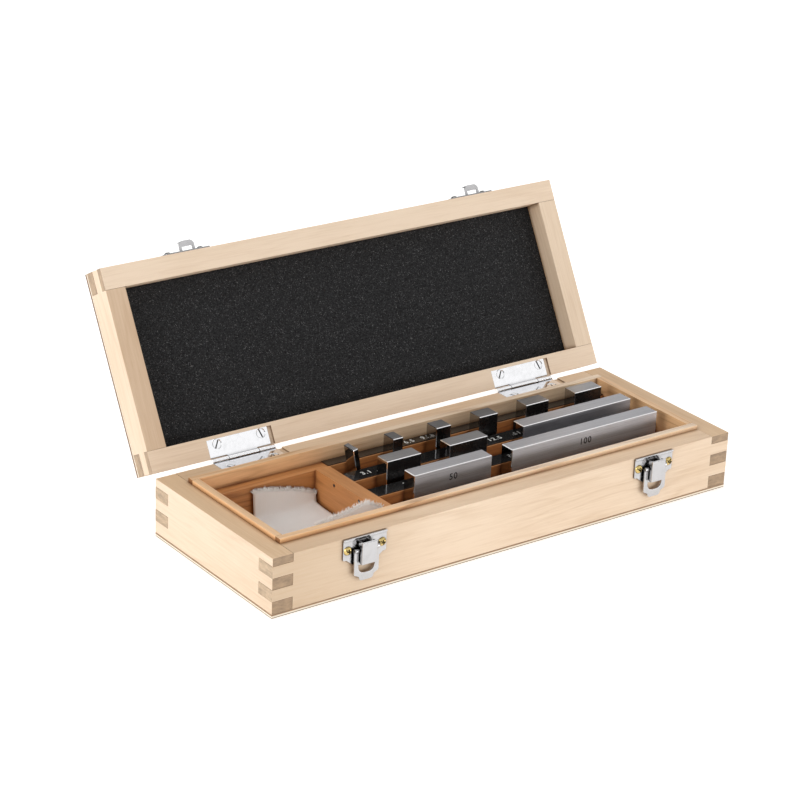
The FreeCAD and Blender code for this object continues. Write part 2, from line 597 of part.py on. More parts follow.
# ---------------------------------------------------------------- build
def build_inside():
    floor = BOTTOM_THICKNESS
    lining_top = RIM + LINING_RISE
    outer_x = HALF_LENGTH - WALL
    outer_y = HALF_WIDTH - WALL
    save("front_lining", block((-outer_x, outer_x), (-outer_y, -INNER_Y), (floor, lining_top)))
    save("back_lining", block((-outer_x, outer_x), (INNER_Y, outer_y), (floor, lining_top)))
    save("left_lining", block((-outer_x, -INNER_X), (-INNER_Y, INNER_Y), (floor, lining_top)))
    save("right_lining", block((INNER_X, outer_x), (-INNER_Y, INNER_Y), (floor, lining_top)))

    nails = divider_nails()
    rails = [
        ("rear", -INNER_X, REAR_RAIL_FRONT, INNER_Y, floor),
        ("second", HOLDER_LEFT, SECOND_RAIL_FRONT, GROOVE_1_FRONT, GROOVE_FLOOR),
        ("third", HOLDER_LEFT, THIRD_RAIL_FRONT, GROOVE_2_FRONT, GROOVE_FLOOR),
        ("front", HOLDER_LEFT, -INNER_Y, GROOVE_3_FRONT, GROOVE_FLOOR),
    ]
    for name, left, front, back, bottom in rails:
        rail = block((left, INNER_X), (front, back), (bottom, RAIL_TOP))
        for nail in nails:
            rail = rail.cut(nail)
        save(name + "_rail", rail)
        label = block((HOLDER_LEFT, INNER_X), (front + LABEL_EDGE, back), (RAIL_TOP, LABEL_TOP))
        save(name + "_label_strip", label)

    divider = block((DIVIDER_LEFT, HOLDER_LEFT), (-INNER_Y, REAR_RAIL_FRONT), (floor, LABEL_TOP))
    for nail in nails:
        divider = divider.cut(nail)
    save("divider", divider)
    save("divider_nails", *nails)

    holder = block((HOLDER_LEFT, INNER_X), (-INNER_Y, REAR_RAIL_FRONT), (floor, GROOVE_FLOOR))
    for node, placed in placed_blocks().items():
        holder = holder.cut(block_pocket(*placed))
        save(node, gauge_block(*placed))
    save("block_holder", holder)
    save("cleaning_cloth", cleaning_cloth())


def build_case():
    """Base and lid boards, with the hinges, latches and catches fixed to them."""
    base_levels = finger_levels(BOTTOM_THICKNESS, RIM, BASE_FIRST_FINGER, BASE_FINGER)
    lid_levels = finger_levels(LID_RIM, LID_BOARD_TOP, LID_FIRST_FINGER, LID_FINGER)
    base = box_boards(base_levels, WALL, side_parity=0)
    lid = box_boards(lid_levels, LID_WALL, side_parity=1)
    base_screws, lid_screws, latch_screws, catch_screws = [], [], [], []

    for side, sign in SIDES:
        centre = sign * (HALF_LENGTH - HINGE_INSET)
        left_knuckle, middle_knuckle, right_knuckle = hinge_spans(centre)
        leaf_z = (RIM - LEAF_THICKNESS, RIM)
        lid_leaf_z = (LID_RIM, LID_RIM + LEAF_THICKNESS)
        down, up = (0, 0, -1), (0, 0, 1)
        base_leaf = hinge_leaf(centre, [left_knuckle, right_knuckle], leaf_z,
                               HINGE_PIN_RADIUS, RIM, down)
        lid_leaf = hinge_leaf(centre, [middle_knuckle], lid_leaf_z,
                              HINGE_PIN_RADIUS + RUNNING_CLEARANCE, LID_RIM, up,
                              LID_LEAF_SHORTFALL)
        save(side + "_hinge_base_leaf", base_leaf)
        save(side + "_hinge_lid_leaf", opened(lid_leaf))
        x = (centre - HINGE_LENGTH / 2, centre + HINGE_LENGTH / 2)
        save(side + "_hinge_pin",
             rod(HINGE_PIN_RADIUS, (x[0], HINGE_Y, HINGE_Z), (x[1], HINGE_Y, HINGE_Z)))
        base["back"] = base["back"].cut(mortise(centre, leaf_z, BASE_MORTISE_OVERRUN))
        lid["back"] = lid["back"].cut(mortise(centre, lid_leaf_z, LID_MORTISE_OVERRUN))
        for point, angle in zip(hinge_screw_points(centre, RIM), HINGE_SLOT_ANGLES):
            screw = countersunk_screw(point, down)
            base["back"] = base["back"].cut(screw)
            base_screws.append(slotted(screw, point, down, angle))
        for point, angle in zip(hinge_screw_points(centre, LID_RIM), HINGE_SLOT_ANGLES):
            screw = countersunk_screw(point, up)
            lid["back"] = lid["back"].cut(screw)
            lid_screws.append(opened(slotted(screw, point, up, angle)))

        x = sign * (HALF_LENGTH - LATCH_INSET)
        plate = latch_plate(x)
        catch = catch_plate(x)
        for _, screw_side in SIDES:
            screw = pan_screw(x + screw_side * LATCH_SCREW_SPREAD / 2, RIM - LATCH_SCREW_DROP,
                              PLATE_THICKNESS, PAN_HEAD_RADIUS, PAN_HEAD_HEIGHT)
            plate = plate.cut(screw)
            base["front"] = base["front"].cut(screw)
            latch_screws.append(screw)
            screw = pan_screw(x + screw_side * CATCH_SCREW_SPREAD / 2,
                              LID_RIM + CATCH_SCREW_START,
                              PLATE_THICKNESS, CATCH_HEAD_RADIUS, CATCH_HEAD_HEIGHT)
            catch = catch.cut(screw)
            lid["front"] = lid["front"].cut(screw)
            catch_screws.append(opened(screw))
        save(side + "_latch_plate", plate)
        save(side + "_catch_plate", opened(catch))
        save(side + "_lever_pin", lever_pin(x))
        save(side + "_latch_lever", latch_lever(x))
        save(side + "_loop_pin", loop_pin(x))
        save(side + "_latch_loop", latch_loop(x))

    for name, board in base.items():
        save(name + "_board", board)
    for name, board in lid.items():
        save("lid_" + name + "_board", opened(board))
    save("hinge_base_screws", *base_screws)
    save("hinge_lid_screws", *lid_screws)
    save("latch_screws", *latch_screws)
    save("catch_screws", *catch_screws)

    full = ((-HALF_LENGTH, HALF_LENGTH), (-HALF_WIDTH, HALF_WIDTH))
    save("bottom_panel", block(full[0], full[1], (0, BOTTOM_THICKNESS)))
    panel_z = (LID_BOARD_TOP, LID_BOARD_TOP + LID_PANEL_THICKNESS)
    save("lid_panel", opened(block(full[0], full[1], panel_z)))
    foam_x = HALF_LENGTH - LID_WALL
    foam_y = HALF_WIDTH - LID_WALL
    save("lid_foam", opened(block((-foam_x, foam_x), (-foam_y, foam_y),
                                  (LID_BOARD_TOP - FOAM_THICKNESS, LID_BOARD_TOP))))


os.makedirs("parts", exist_ok=True)
build_inside()
build_case()
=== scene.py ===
"""Looks of the cased gauge block set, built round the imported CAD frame.

Everything is in metres in the row frame: +X along the case, -Y towards the latches, +Z up.
The CAD nodes keep their shape and get materials and rounded edges.  The cloth, the foam and the
numerals are pieces of their own.
"""

import math
import random

import bpy
from mathutils import Matrix, Vector, noise
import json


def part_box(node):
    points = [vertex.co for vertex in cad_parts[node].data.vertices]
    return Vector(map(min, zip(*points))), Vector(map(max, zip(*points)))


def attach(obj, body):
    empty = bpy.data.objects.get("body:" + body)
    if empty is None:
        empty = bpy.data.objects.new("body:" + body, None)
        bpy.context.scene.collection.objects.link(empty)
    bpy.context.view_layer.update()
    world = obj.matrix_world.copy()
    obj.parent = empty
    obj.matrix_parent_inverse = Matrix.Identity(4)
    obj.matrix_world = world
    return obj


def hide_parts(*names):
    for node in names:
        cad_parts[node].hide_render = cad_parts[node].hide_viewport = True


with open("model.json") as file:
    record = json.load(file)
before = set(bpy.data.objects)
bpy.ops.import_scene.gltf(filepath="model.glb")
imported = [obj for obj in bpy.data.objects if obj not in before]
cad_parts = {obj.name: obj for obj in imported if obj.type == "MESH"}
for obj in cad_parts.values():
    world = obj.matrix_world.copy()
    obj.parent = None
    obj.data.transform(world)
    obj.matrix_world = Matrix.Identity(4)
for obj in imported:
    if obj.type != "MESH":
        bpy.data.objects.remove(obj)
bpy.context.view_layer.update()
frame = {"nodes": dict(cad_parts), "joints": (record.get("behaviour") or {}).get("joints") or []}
NODES = frame["nodes"]
MM = 0.001

# ---------------------------------------------------------------- camera
CAMERA_PLACE = (-0.78627, -1.00280, 0.59702)
CAMERA_AZIMUTH = 36.8545          # looks between +X and +Y, degrees from +Y
CAMERA_PITCH = 22.7716            # downwards
CAMERA_ROLL = 2.3457
CAMERA_LENS = 119.667             # mm
CAMERA_SENSOR = 36.0              # mm


def make_camera():
    data = bpy.data.cameras.new("camera")
    data.lens = CAMERA_LENS
    data.sensor_width = CAMERA_SENSOR
    camera = bpy.data.objects.new("camera", data)
    bpy.context.scene.collection.objects.link(camera)
    turn = (Matrix.Rotation(math.radians(-CAMERA_AZIMUTH), 4, "Z")
            @ Matrix.Rotation(math.radians(90 - CAMERA_PITCH), 4, "X")
            @ Matrix.Rotation(math.radians(CAMERA_ROLL), 4, "Z"))
    camera.matrix_world = Matrix.Translation(CAMERA_PLACE) @ turn
    bpy.context.scene.camera = camera


# ---------------------------------------------------------------- shader helpers
def srgb(red, green, blue):
    """Display colour, 0 to 255, as the linear colour that a shader takes."""
    def linear(value):
        value /= 255
        return value / 12.92 if value <= 0.04045 else ((value + 0.055) / 1.055) ** 2.4
    return (linear(red), linear(green), linear(blue), 1.0)


def dimmed(colour, share):
    """The colour at this share of its brightness."""
    return [c * share for c in colour[:3]] + [1.0]


class Shader:
    """A material's node tree, with short calls for the nodes it uses."""

    def __init__(self, name, **constants):
        self.material = bpy.data.materials.new(name)
        self.material.use_nodes = True
        self.tree = self.material.node_tree
        self.surface = self.tree.nodes["Principled BSDF"]
        self.set(**constants)

    def set(self, **sockets):
        for name, value in sockets.items():
            self.put(self.surface.inputs[name.replace("_", " ")], value)

    def put(self, socket, value):
        if isinstance(value, bpy.types.NodeSocket):
            self.tree.links.new(value, socket)
        else:
            socket.default_value = value

    def node(self, kind, inputs=None, **settings):
        made = self.tree.nodes.new("ShaderNode" + kind)
        for name, value in settings.items():
            setattr(made, name, value)
        for name, value in (inputs or {}).items():
            self.put(made.inputs[name], value)
        return made

    def coords(self, kind="Object"):
        return self.node("TexCoord").outputs[kind]

    def mapped(self, vector, scale=(1, 1, 1), turn=(0, 0, 0), shift=(0, 0, 0), kind="POINT"):
        inputs = {"Vector": vector, "Scale": scale, "Rotation": turn}
        if kind == "POINT":
            inputs["Location"] = shift
        return self.node("Mapping", inputs, vector_type=kind).outputs["Vector"]

    def math(self, operation, *values):
        made = self.node("Math", operation=operation)
        for number, value in enumerate(values):
            self.put(made.inputs[number], value)
        return made.outputs[0]

    def noise(self, vector, scale, detail=2.0, roughness=0.5, distortion=0.0):
        made = self.node("TexNoise", {"Vector": vector, "Scale": scale, "Detail": detail,
                                      "Roughness": roughness, "Distortion": distortion})
        return made.outputs["Fac"]

    def spread(self, value, low, high, to_low=0.0, to_high=1.0):
        made = self.node("MapRange", {"Value": value, "From Min": low, "From Max": high,
                                      "To Min": to_low, "To Max": to_high})
        return made.outputs["Result"]

    def mix(self, share, first, second, blend="MIX"):
        made = self.node("Mix", data_type="RGBA", blend_type=blend)
        self.put(made.inputs[0], share)
        self.put(made.inputs[6], first)
        self.put(made.inputs[7], second)
        return made.outputs[2]

    def bump(self, height, distance, strength=1.0):
        made = self.node("Bump", {"Height": height, "Distance": distance, "Strength": strength})
        return made.outputs["Normal"]

    def open_sky(self, reach):
        """How far a place is clear of other faces within reach: 0 in a crease, 1 in the open."""
        made = self.node("AmbientOcclusion", {"Distance": reach}, samples=CREASE_SAMPLES)
        return made.outputs["AO"]

    def split(self, vector):
        return self.node("SeparateXYZ", {"Vector": vector}).outputs


# ---------------------------------------------------------------- materials
METAL_CREASE = 1.8 * MM           # how near another face must be for painted shade to darken a crease
WOOD_CREASE = 3.0 * MM
CATCH_CREASE = 6.0 * MM           # the hooks stand further from their plates, so their painted crease shade reaches further
CREASE_SAMPLES = 8
WOOD_SHADE = (0.36, 0.25, 0.16, 1.0)      # painted shade: what wood keeps of its colour in a crease
METAL_SHADE = 0.1                 # painted shade: what metal keeps of its colour in a crease
WORN_METAL = 0.93                 # handled spots of plated metal
STREAKED_END = 0.62               # dark streaks in end grain
STREAKED_STEEL = (0.68, 0.68, 0.69, 1.0)  # lapping lines
FADED_INK = 0.8
WOOD_ROUGHNESS = 0.5
PLYWOOD_ROUGHNESS = 0.55
SOFT_ROUGHNESS = 0.9              # cotton and floor paper
FOAM_ROUGHNESS = 0.95
WEAVE_PITCH = 0.0005              # metres from thread to thread and back


def wood(name, pale, dark, end, turn=(0.0, 0.0, 0.0), shift=(0.0, 0.0, 0.0), figure=0.3,
         rim=(1.0, 1.0, 1.0), fade=None):
    """Planed wood with its grain along X of the turned coordinates, and darker end grain.

    figure is the strength of the growth lines; rim tints the faces that look up or down, a painted
    light and shade on them; fade is (from X, to X, colour), a change of tone along the board."""
    s = Shader(name)
    place = s.mapped(s.coords(), turn=turn, shift=shift)
    along = s.mapped(place, scale=(0.09, 1.0, 1.0))
    broad = s.noise(along, 34.0, detail=3.0, roughness=0.45, distortion=0.2)
    waves = s.spread(s.math("SINE", s.math("MULTIPLY", broad, 88.0)), -1.0, 1.0)
    lines = s.math("POWER", waves, 7.0)
    strength = s.spread(s.noise(place, 24.0, detail=1.0), 0.4, 0.62, 0.15, 1.0)
    fibres = s.noise(s.mapped(place, scale=(0.035, 1.0, 1.0)), 1300.0, detail=4.0, roughness=0.7)
    flecks = s.noise(s.mapped(place, scale=(0.16, 1.0, 1.0)), 560.0, detail=1.0)
    patches = s.noise(s.mapped(place, scale=(0.4, 1.0, 1.0)), 22.0, detail=2.0)
    tone = s.math("MULTIPLY", s.math("MULTIPLY", lines, figure), strength)
    tone = s.math("ADD", tone, s.spread(waves, 0.0, 1.0, 0.0, figure * 0.3))
    tone = s.math("ADD", tone, s.spread(fibres, 0.3, 0.7, -0.1, 0.2))
    tone = s.math("ADD", tone, s.spread(patches, 0.35, 0.65, -0.06, 0.16))
    tone = s.math("ADD", tone, s.spread(flecks, 0.68, 0.76, 0.0, 0.1))
    if fade:
        pale = s.mix(s.spread(s.split(place)["X"], fade[0], fade[1]), pale, fade[2])
    face = s.mix(s.math("MINIMUM", s.math("MAXIMUM", tone, 0.0), 1.0), pale, dark)
    facing = s.split(s.mapped(s.coords("Normal"), turn=turn, kind="VECTOR"))
    # painted light and shade: the faces that look up or down take the rim tint
    is_rim = s.spread(s.math("ABSOLUTE", facing["Z"]), 0.6, 0.8)
    face = s.mix(is_rim, face, s.mix(1.0, face, (*rim, 1.0), blend="MULTIPLY"))

    arcs = s.noise(s.mapped(place, scale=(1.0, 0.3, 1.0)), 500.0, detail=4.0, roughness=0.75)
    streaked = s.mix(s.spread(arcs, 0.36, 0.66), end, dimmed(end, STREAKED_END))
    is_end = s.spread(s.math("ABSOLUTE", facing["X"]), 0.6, 0.8)
    height = s.math("SUBTRACT", s.math("MULTIPLY", fibres, 0.7), s.math("MULTIPLY", lines, 0.25))
    surface = s.mix(is_end, face, streaked)
    # painted shade: the wood is darkened where other faces stand near, in creases and between
    # parts
    shaded = s.mix(1.0, surface, WOOD_SHADE, blend="MULTIPLY")
    open_sky = s.open_sky(WOOD_CREASE)
    s.set(Base_Color=s.mix(s.spread(open_sky, 0.45, 0.93), shaded, surface),
          Roughness=s.spread(fibres, 0.3, 0.7, WOOD_ROUGHNESS - 0.06, WOOD_ROUGHNESS + 0.1),
          Normal=s.bump(height, 0.00012, 0.5))
    return s.material


def plywood(name, pale, glue, low, thickness, turn=(0.0, 0.0, 0.0)):
    """Three-ply sheet: pale faces, and layered edges between heights low and low + thickness."""
    s = Shader(name)
    place = s.mapped(s.coords(), turn=turn)
    fibres = s.noise(s.mapped(place, scale=(0.03, 1.0, 1.0)), 1200.0, detail=3.0, roughness=0.6)
    broad = s.noise(s.mapped(place, scale=(0.08, 1.0, 1.0)), 30.0, detail=2.0, distortion=0.3)
    lines = s.math("POWER", s.spread(s.math("SINE", s.math("MULTIPLY", broad, 55.0)), -1, 1), 3.0)
    face = s.mix(s.math("ADD", s.spread(fibres, 0.3, 0.7, 0.0, 0.3),
                        s.math("MULTIPLY", lines, 0.35)), pale, glue)
    level = s.spread(s.split(place)["Z"], low, low + thickness)
    edge = s.mix(s.spread(level, 0.2, 0.3), srgb(132, 120, 102), srgb(240, 232, 215))
    edge = s.mix(s.spread(level, 0.56, 0.62), edge, glue)
    # painted shadow: a dark band along the top of the edge, where the boards stand on the sheet
    edge = s.mix(s.spread(level, 0.8, 0.86), edge, srgb(96, 66, 44))
    edge = s.mix(s.spread(fibres, 0.35, 0.7, 0.0, 0.3), edge, glue)
    facing = s.split(s.mapped(s.coords("Normal"), turn=turn, kind="VECTOR"))["Z"]
    is_edge = s.math("SUBTRACT", 1.0, s.spread(s.math("ABSOLUTE", facing), 0.3, 0.7))
    s.set(Base_Color=s.mix(is_edge, face, edge), Roughness=PLYWOOD_ROUGHNESS,
          Normal=s.bump(fibres, 0.0001, 0.4))
    return s.material


def ground_steel(name, top, side, top_rough, side_rough):
    """Lapped steel: lines along X on top and sides, mirror-like ends and edges with a painted
    highlight.

    top and side colour the faces that look up and those that look to the front or back: painted
    light and shade, each kind of face lighter or darker as the light and surroundings fall on it."""
    s = Shader(name, Metallic=1.0)
    place = s.coords()
    drawn = s.noise(s.mapped(place, scale=(0.01, 1.0, 1.0)), 2600.0, detail=4.0, roughness=0.8)
    smudge = s.noise(place, 130.0, detail=3.0, roughness=0.6)
    facing = s.split(s.coords("Normal"))
    is_end = s.spread(s.math("ABSOLUTE", facing["X"]), 0.9, 0.96)
    is_top = s.spread(s.math("ABSOLUTE", facing["Z"]), 0.9, 0.96)
    is_side = s.spread(s.math("ABSOLUTE", facing["Y"]), 0.9, 0.96)

    def by_face(edge, end, up, front):
        """A number for each kind of face; the chamfers take the first."""
        total = edge
        for mask, value in ((is_end, end), (is_top, up), (is_side, front)):
            kept = s.math("MULTIPLY", total, s.math("SUBTRACT", 1.0, mask))
            total = s.math("ADD", kept, s.math("MULTIPLY", mask, value))
        return total

    rough = s.math("ADD", by_face(0.12, 0.05, top_rough, side_rough),
                   s.spread(smudge, 0.35, 0.7, -0.02, 0.04))
    lined = by_face(0.0, 0.0, 1.0, 1.0)
    # painted light: near-white chamfers as a painted highlight, and each kind of face in its own
    # lit or shaded tone
    colour = s.mix(is_side, s.mix(is_top, srgb(244, 243, 244), top), side)
    colour = s.mix(is_end, colour, srgb(170, 168, 168))
    streak = s.math("MULTIPLY", s.spread(drawn, 0.35, 0.7), lined)
    dull = s.mix(1.0, colour, STREAKED_STEEL, blend="MULTIPLY")
    s.set(Base_Color=s.mix(streak, colour, dull), Roughness=rough,
          Normal=s.bump(s.math("MULTIPLY", drawn, lined), 0.00002, 0.5))
    return s.material


def plated(name, colour, roughness, reach=METAL_CREASE):
    """Bright plated sheet metal with faint handling marks, and painted shade that darkens its
    creases.
    """
    s = Shader(name, Metallic=1.0)
    place = s.coords()
    smudge = s.noise(place, 240.0, detail=3.0, roughness=0.6)
    ripple = s.noise(place, 70.0, detail=1.0)
    worn = dimmed(colour, WORN_METAL)
    open_sky = s.open_sky(reach)
    # painted shade: the metal is darkened in creases and where parts stand near each other
    painted_crease_shade = dimmed(colour, METAL_SHADE)
    clean = s.mix(s.spread(smudge, 0.45, 0.7), colour, worn)
    s.set(Base_Color=s.mix(s.spread(open_sky, 0.4, 0.95), painted_crease_shade, clean),
          Roughness=s.spread(smudge, 0.35, 0.7, roughness, roughness + 0.05),
          Normal=s.bump(ripple, 0.0002, 0.12))
    return s.material


def label_film():
    """Glossy black printed strip."""
    s = Shader("label_film", Coat_Weight=0.6, Coat_Roughness=0.05)
    place = s.coords()
    grain = s.noise(place, 900.0, detail=2.0)
    wave = s.noise(place, 60.0, detail=2.0)
    s.set(Base_Color=s.mix(s.spread(grain, 0.4, 0.7), srgb(20, 19, 19), srgb(34, 31, 29)),
          Roughness=s.spread(wave, 0.3, 0.7, 0.12, 0.2), Normal=s.bump(wave, 0.0003, 0.3))
    return s.material


def foam_skin():
    """Near-black open-cell foam with fine light specks."""
    s = Shader("foam_skin")
    place = s.coords()
    cells = s.node("TexVoronoi", {"Vector": place, "Scale": 1500.0}, feature="F1")
    pits = s.noise(place, 1300.0, detail=3.0, roughness=0.7)
    specks = s.math("MULTIPLY", s.spread(s.noise(place, 2100.0, detail=1.0), 0.6, 0.72),
                    s.spread(s.noise(place, 700.0, detail=2.0), 0.4, 0.6))
    base = s.mix(s.spread(pits, 0.35, 0.65), srgb(17, 17, 18), srgb(50, 50, 51))
    s.set(Base_Color=s.mix(specks, base, srgb(112, 112, 112)), Roughness=FOAM_ROUGHNESS,
          Specular_IOR_Level=0.15,
          Normal=s.bump(s.math("ADD", cells.outputs["Distance"], pits), 0.0004, 0.8))
    return s.material


def woven_cotton(name, sheen):
    """Off-white plain weave; the cloth's UV map is in metres."""
    s = Shader(name, Sheen_Weight=sheen, Sheen_Roughness=0.5)
    flat = s.split(s.coords("UV"))
    pitch = 2 * math.pi / WEAVE_PITCH
    warp = s.math("SINE", s.math("MULTIPLY", flat["X"], pitch))
    weft = s.math("SINE", s.math("MULTIPLY", flat["Y"], pitch))
    weave = s.math("MULTIPLY", warp, weft)
    slub = s.noise(s.mapped(s.coords("UV"), scale=(1.0, 0.12, 1.0)), 1500.0, detail=2.0)
    tint = s.noise(s.coords(), 45.0, detail=3.0)
    pale, grey = srgb(255, 252, 249), srgb(242, 236, 230)
    tone = s.math("ADD", s.spread(weave, -1.0, 1.0, 0.0, 0.3), s.spread(slub, 0.4, 0.7, 0.0, 0.15))
    tone = s.math("ADD", tone, s.spread(tint, 0.4, 0.7, 0.0, 0.12))
    s.set(Base_Color=s.mix(tone, pale, grey), Roughness=SOFT_ROUGHNESS,
          Normal=s.bump(s.math("ADD", weave, slub), 0.00012, 0.6))
    return s.material


def plain_paint(name, colour, roughness):
    """Ink or paint of the numerals, slightly uneven."""
    s = Shader(name)
    patch = s.noise(s.coords(), 1800.0, detail=2.0)
    faded = dimmed(colour, FADED_INK)
    s.set(Base_Color=s.mix(s.spread(patch, 0.4, 0.7), colour, faded), Roughness=roughness)
    return s.material


# ---------------------------------------------------------------- dressing the CAD nodes
LID_JOINT = next(j for j in frame["joints"] if j["child"] == "lid")
LID_ANGLE = math.radians(max(LID_JOINT["range_deg"]))
LID_BACK = (LID_ANGLE, 0.0, 0.0)              # undoes the lid's opening
QUARTER = -math.pi / 2
CASE_FADE = (-0.14, -0.05)                    # X where the case's long boards turn paler: painted shade, their left ends darker where less light falls
LINING_FADE = (-0.075, -0.02)                 # X where the long linings turn paler
BOARD_EDGE = 0.3 * MM             # how far edges are rounded
LINING_EDGE = 0.25 * MM
RAIL_EDGE = 0.2 * MM
PLYWOOD_EDGE = 0.15 * MM
METAL_EDGE = 0.1 * MM
STRIP_EDGE = 0.08 * MM
EDGE_SEGMENTS = 2
EDGE_ANGLE = math.radians(35)     # sharper edges are rounded
FLAT_ANGLE = math.radians(1.0)    # faces nearer than this to one plane are joined
WELD_REACH = 1e-6
SATIN_BLOCK_LIGHT = {"100": 226, "75": 176, "50": 208}     # painted light: how pale the fronts and backs are painted, to the light and reflections each block shows


def paint(node, material, rounding=0.0):
    """Gives a CAD node its material and, where asked, slightly rounded edges."""
    piece = NODES[node]
    for slot in piece.material_slots:
        slot.material = material
    if not rounding:
        return
    weld = piece.modifiers.new("weld", "WELD")
    weld.merge_threshold = WELD_REACH
    flat = piece.modifiers.new("flat", "DECIMATE")
    flat.decimate_type = "DISSOLVE"
    flat.angle_limit = FLAT_ANGLE
    bevel = piece.modifiers.new("edges", "BEVEL")
    bevel.width = rounding
    bevel.segments = EDGE_SEGMENTS
    bevel.limit_method = "ANGLE"
    bevel.angle_limit = EDGE_ANGLE
    piece.modifiers.new("normals", "WEIGHTED_NORMAL").keep_sharp = False


def dress_nodes():
    case_pale, case_dark, case_end = srgb(228, 205, 179), srgb(190, 156, 120), srgb(184, 157, 128)
    inner_pale, inner_dark, inner_end = srgb(206, 142, 84), srgb(120, 70, 34), srgb(150, 100, 60)
    lining_pale, lining_dark = srgb(246, 198, 146), srgb(172, 120, 74)
    # painted shade: the long boards darker towards their left ends, where less light falls
    case_fade = (CASE_FADE[0], CASE_FADE[1], case_pale)
    # the rim tints here are painted light and shade on the faces that look up or down
    long_case = wood("case_wood_long", srgb(206, 181, 152), case_dark, srgb(196, 170, 140),
                     figure=0.16, rim=(1.07, 1.02, 0.96), fade=case_fade)
    side_case = wood("case_wood_side", case_pale, case_dark, srgb(170, 142, 112),
                     turn=(0, 0, QUARTER), shift=(0.3, 0.1, 0), figure=0.15,
                     rim=(0.96, 0.86, 0.72))
    long_lid = wood("lid_wood_long", case_pale, case_dark, case_end, turn=LID_BACK,
                    shift=(0.7, 0.4, 0), figure=0.1, rim=(1.02, 1.03, 1.05))
    # painted light and shade: the lid's left rims darker, its right rims lighter, as the light
    # falls on them
    lid_rim_light = {"left": (0.8, 0.74, 0.68), "right": (1.02, 1.04, 1.06)}
    fade = (LINING_FADE[0], LINING_FADE[1], srgb(250, 220, 184))
    long_lining = wood("lining_wood_long", lining_pale, lining_dark, lining_dark,
                       shift=(0, 0.5, 0.3), figure=0.35, fade=fade,
                       rim=(0.95, 1.02, 1.15))
    side_lining = wood("lining_wood_side", lining_pale, lining_dark, lining_dark,
                       turn=(0, 0, QUARTER), shift=(0.4, 0.6, 0), figure=0.35,
                       rim=(0.9, 0.97, 1.1))
    holder = wood("holder_wood", inner_pale, inner_dark, inner_end, shift=(0.1, 0.2, 0.6),
                  figure=0.3)
    divider = wood("divider_wood", inner_pale, inner_dark, inner_end, turn=(0, 0, QUARTER),
                   shift=(0.8, 0.3, 0.2), figure=0.3)
    for side in ("front", "back"):
        paint(side + "_board", long_case, BOARD_EDGE)
        paint("lid_" + side + "_board", long_lid, BOARD_EDGE)
        paint(side + "_lining", long_lining, LINING_EDGE)
    for side in ("left", "right"):
        paint(side + "_board", side_case, BOARD_EDGE)
        side_lid = wood("lid_wood_" + side, case_pale, case_dark, case_end,
                        turn=(LID_ANGLE, 0, QUARTER), shift=(0.2, 0.9, 0), figure=0.12,
                        rim=lid_rim_light[side])
        paint("lid_" + side + "_board", side_lid, BOARD_EDGE)
        paint(side + "_lining", side_lining, LINING_EDGE)
    film = label_film()
    for rail in ("rear", "second", "third", "front"):
        paint(rail + "_rail", holder, RAIL_EDGE)
        paint(rail + "_label_strip", film, STRIP_EDGE)
    paint("block_holder", holder)
    paint("divider", divider, RAIL_EDGE)

    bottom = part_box("bottom_panel")
    thickness = bottom[1].z - bottom[0].z
    ply_pale, ply_core = srgb(230, 207, 176), srgb(168, 136, 104)
    paint("bottom_panel", plywood("bottom_plywood", ply_pale, ply_core, bottom[0].z, thickness),
          PLYWOOD_EDGE)
    paint("lid_panel", plywood("lid_plywood", ply_pale, ply_core, closed_box("lid_panel")[0].z,
                               thickness, turn=LID_BACK), PLYWOOD_EDGE)

    # painted reflection: the lapped blocks' fronts and backs painted dark for the dark
    # surroundings they mirror, their tops paler
    lapped = ground_steel("lapped_steel", srgb(166, 165, 166), srgb(96, 94, 93), 0.36, 0.26)
    for node in NODES:
        if node.startswith("block_") and node != "block_holder":
            paint(node, lapped)
    # painted light: each satin block's fronts and backs painted as pale as they stand in the light
    for size, painted_face_light in SATIN_BLOCK_LIGHT.items():
        satin = ground_steel("satin_steel_" + size, srgb(180, 179, 182),
                             srgb(painted_face_light, painted_face_light - 1, painted_face_light + 3), 0.42, 0.5)
        paint("block_" + size + "_mm", satin)

    chrome = plated("hinge_chrome", srgb(250, 250, 252), 0.08)
    nickel = plated("latch_nickel", srgb(198, 197, 198), 0.15)
    catch_nickel = plated("catch_nickel", srgb(198, 197, 198), 0.15, reach=CATCH_CREASE)
    brass = plated("screw_brass", srgb(216, 190, 124), 0.16)
    dark = plated("dark_steel", srgb(78, 76, 74), 0.2)
    for side in ("left", "right"):
        for node in ("_hinge_base_leaf", "_hinge_lid_leaf"):
            paint(side + node, chrome, METAL_EDGE)
        paint(side + "_hinge_pin", chrome)
        for node in ("_latch_plate", "_latch_lever", "_latch_loop"):
            paint(side + node, nickel, METAL_EDGE)
        paint(side + "_catch_plate", catch_nickel, METAL_EDGE)
        paint(side + "_lever_pin", nickel)
        paint(side + "_loop_pin", nickel)
    paint("latch_screws", brass)
    paint("catch_screws", dark)
    paint("hinge_base_screws", chrome)
    paint("hinge_lid_screws", chrome)
    paint("divider_nails", dark)


# ---------------------------------------------------------------- geometry helpers
def lid_turn():
    """The turn that opens the closed lid to where it stands at rest."""
    pivot = Vector(LID_JOINT["pos_m"])
    return (Matrix.Translation(pivot) @ Matrix.Rotation(-LID_ANGLE, 4, "X")
            @ Matrix.Translation(-pivot))


def closed_box(node):
    """(lowest, highest) corner of a lid node with the lid swung shut."""
    back = lid_turn().inverted()
    points = [back @ v.co for v in NODES[node].data.vertices]
    return (Vector(min(p[i] for p in points) for i in range(3)),
            Vector(max(p[i] for p in points) for i in range(3)))


